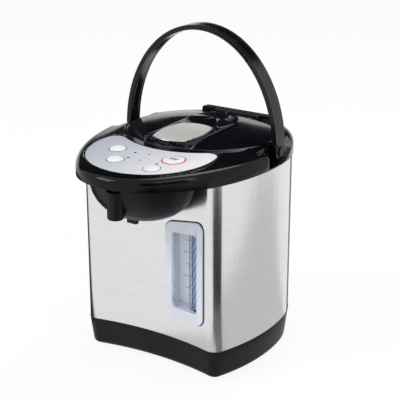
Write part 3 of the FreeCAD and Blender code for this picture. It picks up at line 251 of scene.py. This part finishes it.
# Drawn stainless of the vessel and fittings.
plain_steel = brushed("stainless_steel_drawn", "A9ABAE", "C2C4C7", rough=(0.28, 0.4),
                      streak_mm=8, band_mm=60, line_mm=0.5, relief=0.1)
# Release plate: satin silver lacquer on zinc, warm grey.
satin_silver = plastic("zinc_lacquered_silver", "BFBCB9", "C7C4C1",
                       rough=(0.34, 0.42), grain_mm=0.3, relief=0.08, specular=0.6)
# Trim of the finger plate: bright chrome plating.
chrome = brushed("abs_chrome_plated", "EDEDED", "F4F4F4", rough=(0.10, 0.14),
                 streak_mm=20, band_mm=60, line_mm=1.0, relief=0.0)
# Nickel-plated brass of the inlet pins.
brass = brushed("brass_nickel_plated", "B9A878", "CDBD8E", rough=(0.2, 0.3),
                streak_mm=4, band_mm=20, line_mm=0.4, relief=0.1)


def clear(name, colour, roughness, ior):
    """Clear moulding: sees through, with faint moulding waves."""
    wave_mm, wave_depth_mm = 12, 0.2
    material, tree, shader, _ = new_material(name)
    shader.inputs["Base Color"].default_value = linear(colour)
    shader.inputs["Roughness"].default_value = roughness
    shader.inputs["IOR"].default_value = ior
    shader.inputs["Transmission Weight"].default_value = 1.0
    waves = add(tree, "ShaderNodeTexNoise", {
        "Vector": object_position(tree), "Scale": 1 / (wave_mm * MM), "Detail": 1.0,
    })
    relief = add(tree, "ShaderNodeBump", {
        "Height": waves.outputs["Fac"], "Strength": 0.03, "Distance": wave_depth_mm * MM,
    })
    tree.links.new(relief.outputs["Normal"], shader.inputs["Normal"])
    return material


# Clear acrylic pane of the water window, with less bend than acrylic's own 1.49 so that the
# plate behind it shows as plainly as in the photo.
acrylic = clear("acrylic_clear_moulded", "F4F8FC", roughness=0.02, ior=1.2)


def grooved(material, middle, offset, width, depth):
    """Adds two lengthwise grooves to a moulding, either side of its middle in Y."""
    tree = material.node_tree
    shader = tree.nodes["Principled BSDF"]
    place = add(tree, "ShaderNodeTexCoord")
    parts = add(tree, "ShaderNodeSeparateXYZ", {"Vector": place.outputs["Object"]})
    from_middle = add(tree, "ShaderNodeMath", {
        0: parts.outputs["Y"], 1: middle * MM,
    }, operation="SUBTRACT")
    side = add(tree, "ShaderNodeMath", {
        0: from_middle.outputs["Value"],
    }, operation="ABSOLUTE")
    from_groove = add(tree, "ShaderNodeMath", {
        0: side.outputs["Value"], 1: offset * MM,
    }, operation="SUBTRACT")
    distance = add(tree, "ShaderNodeMath", {
        0: from_groove.outputs["Value"],
    }, operation="ABSOLUTE")
    height = add(tree, "ShaderNodeMapRange", {
        "Value": distance.outputs["Value"], "From Min": 0.0, "From Max": width * MM,
    }, interpolation_type="SMOOTHSTEP")
    relief = add(tree, "ShaderNodeBump", {
        "Height": height.outputs["Result"], "Strength": 1.0, "Distance": depth * MM,
    })
    tree.links.new(relief.outputs["Normal"], shader.inputs["Normal"])


# Bail: the polished ABS again, with two grooves along it that catch a thin line of light.
bail_black = plastic("abs_polished_grooved", "08080B", "0C0C10",
                     rough=(0.12, 0.18), grain_mm=0.6, relief=0.0, specular=0.3)
grooved(bail_black, middle=BAIL_MIDDLE_Y, offset=6.0, width=0.7, depth=0.5)


def striped_tube():
    """Glass tube whose back half carries slanting blue and white lines."""
    lines_apart = 11
    rise_per_width = 2.6
    back_from_y = -51.6
    material, tree, shader, out = new_material("borosilicate_glass_striped_back")
    shader.inputs["Base Color"].default_value = linear("F2F6FB")
    shader.inputs["Roughness"].default_value = 0.02
    shader.inputs["IOR"].default_value = 1.2
    shader.inputs["Transmission Weight"].default_value = 1.0
    place = add(tree, "ShaderNodeTexCoord")
    parts = add(tree, "ShaderNodeSeparateXYZ", {"Vector": place.outputs["Object"]})
    slant = add(tree, "ShaderNodeMath", {
        0: parts.outputs["X"], 1: -rise_per_width, 2: parts.outputs["Z"],
    }, operation="MULTIPLY_ADD")
    count = add(tree, "ShaderNodeMath", {
        0: slant.outputs["Value"], 1: 1 / (lines_apart * MM),
    }, operation="MULTIPLY")
    phase = add(tree, "ShaderNodeMath", {
        0: count.outputs["Value"],
    }, operation="FRACT")
    lines = add(tree, "ShaderNodeValToRGB", {"Fac": phase.outputs["Value"]}, stops=[
        (0.0, linear("4D74D2")), (0.30, linear("6C8FE0")), (0.38, linear("F4F7FD")),
        (0.62, linear("DDE6F8")), (0.70, linear("A9BDE8")), (0.95, linear("EEF2FC")),
    ])
    printed = add(tree, "ShaderNodeBsdfPrincipled", {
        "Base Color": lines.outputs["Color"], "Roughness": 0.3,
    })
    behind = add(tree, "ShaderNodeMath", {
        0: parts.outputs["Y"], 1: back_from_y * MM,
    }, operation="GREATER_THAN")
    mix = add(tree, "ShaderNodeMixShader", {
        0: behind.outputs["Value"], 1: shader.outputs["BSDF"], 2: printed.outputs["BSDF"],
    })
    tree.links.new(mix.outputs["Shader"], out.inputs["Surface"])
    return material


# Borosilicate sight tube: clear in front, printed behind, with less bend than glass's 1.47.
glass = striped_tube()
# Clear polycarbonate frame over a silvered back: pale blue grey with bright edges.
frame_clear = plastic("polycarbonate_frosted_clear", "D6DAE6", "E2E5EE",
                      rough=(0.12, 0.2), grain_mm=0.5, relief=0.03, specular=0.7)

finishes = {
    gloss_black: ("collar", "hinge_cover", "bail_pins", "steam_cap"),
    bail_black: ("bail", "bail_grip"),
    lid_black: ("lid_outer", "release_lever"),
    satin_black: ("base_ring", "bottom_cover", "rear_panel", "inlet_housing", "spout_hood",
                  "spout_nozzle", "cup_lever", "lid_inner", "latch_bolt"),
    housing_grey: ("pump_housing", "pump_motor", "impeller", "thermostat"),
    rubber: ("rubber_feet", "pump_mount", "spout_hose"),
    silicone: ("vessel_gasket", "lid_gasket", "inlet_hose", "outlet_hose"),
    white_plastic: ("reboil_button", "unlock_button", "keep_warm_button", "dispense_button"),
    red_film: ("dispense_ring", "thermal_fuse"),
    dark_lens: ("dark_lights",),
    red_lens: ("red_lights",),
    panel_film: ("control_panel",),
    level_white: ("level_plate",),
    board_green: ("power_board", "control_board", "tact_switches"),
    steel: ("outer_shell",),
    plain_steel: ("inner_vessel", "clamp_ring", "clamp_screws", "bottom_screws", "hinge_pin",
                  "release_pin", "cup_lever_pin", "lever_spring", "heater"),
    brass: ("inlet_pins",),
    acrylic: ("window_lens",),
    glass: ("sight_tube",),
    frame_clear: ("window_frame",),
}
finish_of = {name: material for material, names in finishes.items() for name in names}
for name, material in finish_of.items():
    nodes[name].data.materials.clear()
    nodes[name].data.materials.append(material)


# Tools for the pieces made here

body_of_node = {name: body for body, names in frame["record"]["behaviour"]["bodies"].items()
                for name in names}


def pick(piece):
    """Makes one object the only selected and active one."""
    bpy.ops.object.select_all(action="DESELECT")
    piece.select_set(True)
    bpy.context.view_layer.objects.active = piece


def apply_all(piece):
    """Applies every modifier of an object in order."""
    pick(piece)
    for modifier in list(piece.modifiers):
        bpy.ops.object.modifier_apply(modifier=modifier.name)


def settle(piece):
    """Puts an object's place, turn and size into its mesh."""
    pick(piece)
    bpy.ops.object.transform_apply(location=True, rotation=True, scale=True)


def moulded(name, material, merge_mm=0.005, smooth_below=28):
    """Copy of a CAD node, merged and shaded smooth over its rounds, standing for it."""
    piece = bpy.data.objects.new(name + "_moulding", nodes[name].data.copy())
    bpy.context.scene.collection.objects.link(piece)
    pick(piece)
    bpy.ops.object.mode_set(mode="EDIT")
    bpy.ops.mesh.select_all(action="SELECT")
    bpy.ops.mesh.remove_doubles(threshold=merge_mm * MM)
    bpy.ops.object.mode_set(mode="OBJECT")
    bpy.ops.object.shade_smooth_by_angle(angle=math.radians(smooth_below))
    weight = piece.modifiers.new("face_weight", "WEIGHTED_NORMAL")
    weight.keep_sharp = True
    weight.weight = 90
    apply_all(piece)
    piece.data.materials.clear()
    piece.data.materials.append(material)
    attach(piece, body_of_node[name])
    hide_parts(name)
    return piece


def printed_bar(name, centre, size, material, rounded_share=0.45):
    """Thin raised print line with rounded ends."""
    bpy.ops.object.select_all(action="DESELECT")
    bpy.ops.mesh.primitive_cube_add(size=1.0, location=[v * MM for v in centre])
    bar = bpy.context.object
    bar.name = name
    bar.scale = [v * MM for v in size]
    settle(bar)
    rounding = bar.modifiers.new("ends", "BEVEL")
    rounding.width = min(size) * rounded_share * MM
    rounding.segments = 2
    apply_all(bar)
    bar.data.materials.append(material)
    return bar


def join(pieces, name):
    """Joins objects into the first and names it."""
    bpy.ops.object.select_all(action="DESELECT")
    for piece in pieces:
        piece.select_set(True)
    bpy.context.view_layer.objects.active = pieces[0]
    bpy.ops.object.join()
    joined = bpy.context.object
    joined.name = name
    return joined


# Pieces that stand for the CAD mouldings

shown = ("collar", "lid_outer", "bail", "bail_grip", "spout_hood", "spout_nozzle", "base_ring",
         "hinge_cover", "cup_lever", "release_lever", "rear_panel", "window_frame",
         "window_lens", "sight_tube", "outer_shell", "control_panel", "reboil_button",
         "unlock_button", "keep_warm_button", "dispense_button", "dispense_ring",
         "steam_cap", "inlet_housing", "bail_pins")
mouldings = {name: moulded(name, finish_of[name]) for name in shown}


# Shapes the mouldings take beyond the plain solids

def thin_grip(piece, start=2.5, share=0.42, end_share=0.6, taper=20.0):
    """Draws the grip in under the bail, so that it is a thin sleeve and not a block."""
    for vertex in piece.data.vertices:
        x = vertex.co.x / MM
        z = vertex.co.z / MM - BAIL_PIVOT_Z
        angle = math.atan2(z / BAIL_HEIGHT, x / BAIL_HALF_WIDTH)
        across = math.cos(angle)
        along = math.sin(angle)
        normal = Vector((across / BAIL_HALF_WIDTH, along / BAIL_HEIGHT)).normalized()
        outer = Vector((BAIL_HALF_WIDTH * across, BAIL_HEIGHT * along))
        depth = (outer - Vector((x, z))).dot(normal)
        fade = min(1.0, max(0.0, (GRIP_HALF_LENGTH - abs(x)) / taper))
        keep = share * (end_share + (1 - end_share) * fade)
        step = (depth - start) * (1 - keep)
        vertex.co.x += normal.x * step * MM
        vertex.co.z += normal.y * step * MM


def raise_window(piece, start=146.0, end=178.0, lift=2.5, slope=0.19):
    """Slants the top of the water window, so that it is higher towards the pot's side."""
    for vertex in piece.data.vertices:
        z = vertex.co.z / MM
        part = min(1.0, max(0.0, (z - start) / (end - start)))
        rise = slope * (vertex.co.x / MM - WINDOW_X) + lift
        vertex.co.z += part * rise * MM


def window_gasket(wider=1.036, taller=1.018, behind=1.6):
    """Dark ring behind the window frame that shows as a thin line around it: a painted
    reflection, standing for the dark that the frame's rounded edge reflects.
    """
    dark_ring = bpy.data.objects.new("window_gasket", mouldings["window_frame"].data.copy())
    bpy.context.scene.collection.objects.link(dark_ring)
    for vertex in dark_ring.data.vertices:
        vertex.co.x = (WINDOW_X + (vertex.co.x / MM - WINDOW_X) * wider) * MM
        vertex.co.z = (WINDOW_Z + (vertex.co.z / MM - WINDOW_Z) * taller) * MM
        vertex.co.y += behind * MM
    dark_ring.data.materials.clear()
    dark_ring.data.materials.append(rubber)
    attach(dark_ring, "pot")


def move_tube(piece, left=4.0, forward=1.0):
    """Moves the sight tube to where the window shows it."""
    for vertex in piece.data.vertices:
        vertex.co.x -= left * MM
        vertex.co.y -= forward * MM


def lower_cover(piece, foot=0.250, share=0.62):
    """Presses the hinge cover down on its foot."""
    for vertex in piece.data.vertices:
        vertex.co.z = foot + (vertex.co.z - foot) * share


thin_grip(mouldings["bail_grip"])
for name in ("window_frame", "window_lens"):
    raise_window(mouldings[name])
# Painted reflection: a dark ring round the window frame in place of the dark reflected in its
# rounded edge.
window_gasket()
move_tube(mouldings["sight_tube"])
lower_cover(mouldings["hinge_cover"])


def release_sheet(name, material, grow, offset, thickness):
    """Sheet laid on the black lever: a barrel outline with a rounded rim."""
    bpy.ops.object.select_all(action="DESELECT")
    bpy.ops.mesh.primitive_grid_add(x_subdivisions=28, y_subdivisions=36, size=2.0)
    plate = bpy.context.object
    plate.name = name
    middle_y, half_width, half_length = 3.5, 24.6, 35.0
    narrowing, shortening = 0.36, 0.30
    drop_from_m = 0.30
    for vertex in plate.data.vertices:
        u = vertex.co.x
        v = vertex.co.y
        x = u * math.sqrt(1 - narrowing * v * v) * (half_width + grow)
        y = v * math.sqrt(1 - shortening * u * u) * (half_length + grow)
        vertex.co = (x * MM, (middle_y + y) * MM, drop_from_m)
    fit = plate.modifiers.new("lie_on_lever", "SHRINKWRAP")
    fit.target = nodes["release_lever"]
    fit.wrap_method = "PROJECT"
    fit.use_project_z = True
    fit.use_negative_direction = True
    fit.use_positive_direction = False
    fit.offset = offset * MM
    apply_all(plate)
    body = plate.modifiers.new("sheet", "SOLIDIFY")
    body.thickness = thickness * MM
    body.offset = -1.0
    rim = plate.modifiers.new("rim", "BEVEL")
    rim.width = 0.25 * MM
    rim.segments = 3
    rim.limit_method = "ANGLE"
    rim.angle_limit = math.radians(60)
    apply_all(plate)
    bpy.ops.object.shade_smooth_by_angle(angle=math.radians(35))
    plate.data.materials.append(material)
    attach(plate, "release_plate")


release_sheet("release_trim", chrome, grow=1.4, offset=0.45, thickness=0.5)
release_sheet("release_inlay", satin_silver, grow=0.0, offset=0.75, thickness=0.6)


# Outlines printed round the buttons

def on_panel(x, y, height):
    """Point on the tilted panel from its place in millimetres."""
    tilt = math.radians(PANEL_TILT)
    along = y - PANEL_Y
    return Vector((x, PANEL_Y + along * math.cos(tilt) - height * math.sin(tilt),
                   PANEL_Z + along * math.sin(tilt) + height * math.cos(tilt))) * MM


def button_outline(name, x, y, ink, width=19.2, depth=20.7, height=4.0, raised=0.03):
    """Thin printed ring on the panel around a button."""
    bpy.ops.object.select_all(action="DESELECT")
    bpy.ops.mesh.primitive_torus_add(major_segments=72, minor_segments=8,
                                     major_radius=1.0, minor_radius=0.035)
    ring = bpy.context.object
    ring.name = name
    ring.scale = (width / 2 * MM, depth / 2 * MM, height * MM)
    ring.rotation_euler = (math.radians(PANEL_TILT), 0, 0)
    ring.location = on_panel(x, y, raised)
    settle(ring)
    bpy.ops.object.shade_smooth()
    ring.data.materials.append(ink)
    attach(ring, "pot")


outline_ink = plastic("ink_screen_printed_dark", "3B3D46", "3B3D46",
                      rough=(0.4, 0.5), grain_mm=0.4, relief=0.05)
button_outline("outline_reboil", -38, -67, outline_ink)
button_outline("outline_unlock", -20, -96, outline_ink)
button_outline("outline_keep_warm", 30, -100, outline_ink)


# Print on the level plate: five short lines beside the tube

mark_ink = plastic("ink_screen_printed_grey", "4A4C58", "4A4C58",
                   rough=(0.4, 0.5), grain_mm=0.4, relief=0.05)
plate_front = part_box("level_plate")[0].y / MM - 0.05
mark_end_x, lowest_mark_z, marks_apart = 47, 98, 14.2
long_mark, short_mark, mark_depth, mark_height = 11.0, 8.5, 0.3, 0.55
marks = []
for step in range(5):
    length = long_mark if step % 2 else short_mark
    marks.append(printed_bar(
        "mark", (mark_end_x - length / 2, plate_front, lowest_mark_z + marks_apart * step),
        (length, mark_depth, mark_height), mark_ink))
level_marks = join(marks, "level_marks")
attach(level_marks, "pot")


# Steam sign on the dispense button: three wavy lines

def steam_line(x, y=-67.0, height=1.45, size=(2.3, 1.9, 1.0), turn=70):
    """Wavy line of steam, made from an S-shaped curve lying on the button."""
    bpy.ops.object.select_all(action="DESELECT")
    bpy.ops.curve.primitive_bezier_curve_add(radius=1.0)
    line = bpy.context.object
    line.data.bevel_depth = 0.24
    line.data.bevel_resolution = 2
    bpy.ops.object.convert(target="MESH")
    line.scale = [v * MM for v in size]
    line.rotation_euler = (0, 0, math.radians(turn))
    line.location = on_panel(x, y, height)
    settle(line)
    line.data.materials.append(mark_ink)
    bpy.ops.object.shade_smooth()
    return line


steam_sign = join([steam_line(x) for x in (32.5, 36.0, 39.5)], "steam_sign")
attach(steam_sign, "dispense_key")


# Camera at the photograph's place

camera_place = Vector((0.6862, -1.0225, 0.6266))
azimuth = math.radians(32.885)
elevation = math.radians(20.007)
focal_pixels = 1150.0
image_pixels = 400.0
right = Vector((math.cos(azimuth), math.sin(azimuth), 0))
back = Vector((math.sin(azimuth) * math.cos(elevation),
               -math.cos(azimuth) * math.cos(elevation), math.sin(elevation)))
up = back.cross(right)
camera_data = bpy.data.cameras.new("camera")
camera_data.sensor_width = 36.0
camera_data.lens = camera_data.sensor_width * focal_pixels / image_pixels
camera_data.clip_start = 0.05
camera = bpy.data.objects.new("camera", camera_data)
bpy.context.scene.collection.objects.link(camera)
turn = Matrix((right, up, back)).transposed().to_4x4()
camera.matrix_world = Matrix.Translation(camera_place) @ turn
bpy.context.scene.camera = camera


# Floor, world and lamps

def white_to_view(tree):
    """1 where a ray comes from the camera, a reflection or clear glass, else 0."""
    path = add(tree, "ShaderNodeLightPath")
    first = add(tree, "ShaderNodeMath", {
        0: path.outputs["Is Camera Ray"], 1: path.outputs["Is Glossy Ray"],
    }, operation="MAXIMUM")
    both = add(tree, "ShaderNodeMath", {
        0: first.outputs["Value"], 1: path.outputs["Is Transmission Ray"],
    }, operation="MAXIMUM")
    return both.outputs["Value"]


def make_floor():
    """Plain white floor that keeps a faint shadow."""
    bpy.ops.mesh.primitive_plane_add(size=8.0, location=(0, 0, 0))
    floor = bpy.context.object
    floor.name = "floor"
    material, tree, shader, out = new_material("floor_paper_white")
    shader.inputs["Base Color"].default_value = grey(0.96)
    shader.inputs["Roughness"].default_value = 0.9
    shader.inputs["Specular IOR Level"].default_value = 0.1
    glow = add(tree, "ShaderNodeEmission", {"Color": grey(1.0), "Strength": 1.0})
    glow_share = 0.88
    share = add(tree, "ShaderNodeMath", {
        0: white_to_view(tree), 1: glow_share,
    }, operation="MULTIPLY")
    mix = add(tree, "ShaderNodeMixShader", {
        0: share.outputs["Value"], 1: shader.outputs["BSDF"], 2: glow.outputs["Emission"],
    })
    tree.links.new(mix.outputs["Shader"], out.inputs["Surface"])
    floor.data.materials.append(material)


def make_world():
    """White to the eye and in reflections, and a low even light on everything else."""
    world = bpy.data.worlds.new("studio")
    bpy.context.scene.world = world
    world.use_nodes = True
    tree = world.node_tree
    tree.nodes.clear()
    low = add(tree, "ShaderNodeBackground", {"Color": grey(1.0), "Strength": 0.45})
    high = add(tree, "ShaderNodeBackground", {"Color": grey(1.0), "Strength": 1.0})
    mix = add(tree, "ShaderNodeMixShader", {
        0: white_to_view(tree), 1: low.outputs["Background"], 2: high.outputs["Background"],
    })
    add(tree, "ShaderNodeOutputWorld", {"Surface": mix.outputs["Shader"]})


def area_lamp(name, place, toward, width, height, power):
    """Soft rectangular lamp aimed at a point."""
    data = bpy.data.lights.new(name, "AREA")
    data.shape = "RECTANGLE"
    data.size = width
    data.size_y = height
    data.energy = power
    lamp = bpy.data.objects.new(name, data)
    bpy.context.scene.collection.objects.link(lamp)
    way = Vector(toward) - Vector(place)
    lamp.matrix_world = (Matrix.Translation(place)
                         @ way.to_track_quat("-Z", "Y").to_matrix().to_4x4())


def card(name, place, toward, width, height, tone):
    """Upright studio card of a plain tone that only reflections see."""
    bpy.ops.object.select_all(action="DESELECT")
    bpy.ops.mesh.primitive_plane_add(size=1.0)
    sheet = bpy.context.object
    sheet.name = name
    way = Vector((toward[0], toward[1], place[2])) - Vector(place)
    sheet.matrix_world = (Matrix.Translation(place)
                          @ way.to_track_quat("-Z", "Y").to_matrix().to_4x4()
                          @ Matrix.Diagonal((width, height, 1, 1)))
    sheet.visible_camera = False
    sheet.visible_diffuse = False
    sheet.visible_shadow = False
    sheet.visible_transmission = False
    material = bpy.data.materials.new("card_" + name)
    material.use_nodes = True
    tree = material.node_tree
    tree.nodes.clear()
    glow = add(tree, "ShaderNodeEmission", {"Color": grey(tone), "Strength": 1.0})
    add(tree, "ShaderNodeOutputMaterial", {"Surface": glow.outputs["Emission"]})
    sheet.data.materials.append(material)
    return sheet


def floor_card(name, middle, size, turn, tone):
    """Studio card of a plain tone lying on the floor, that only reflections see."""
    above_floor = 0.003
    place = (middle[0], middle[1], above_floor)
    sheet = card(name, place, middle, size[0], size[1], tone)
    sheet.matrix_world = (Matrix.Translation(place)
                          @ Matrix.Rotation(math.radians(turn), 4, "Z")
                          @ Matrix.Diagonal((size[0], size[1], 1, 1)))


make_floor()
make_world()
# Lamps at a level where a colour renders about as written.
area_lamp("key_lamp", (-1.3, -1.6, 1.7), toward=(0, 0, 0.15), width=1.2, height=1.2, power=26)
area_lamp("fill_lamp", (1.9, -0.7, 1.2), toward=(0, 0, 0.15), width=1.0, height=1.4, power=16)
area_lamp("top_lamp", (0.1, 0.9, 2.0), toward=(0, 0, 0.2), width=1.4, height=0.9, power=18)
# The dark cards give the steel its dark corner and left edge and keep the black tops black;
# the pale one beside the pot takes the steel's right face down a little.
floor_card("corner", middle=(0.46, -0.40), size=(0.66, 0.72), turn=0, tone=0.02)
floor_card("left", middle=(-0.44, 0.28), size=(0.64, 0.80), turn=0, tone=0.02)
floor_card("side", middle=(0.30, 0.19), size=(0.26, 0.86), turn=-32.9, tone=0.66)
card("front_right", (0.82, -0.62, 0.55), toward=(0.10, -0.05), width=0.90, height=0.70, tone=0.02)
card("backdrop", (-0.98, 1.51, 1.75), toward=(0.0, 0.0), width=5.0, height=2.3, tone=0.015)

bpy.context.scene.view_settings.view_transform = "Standard"
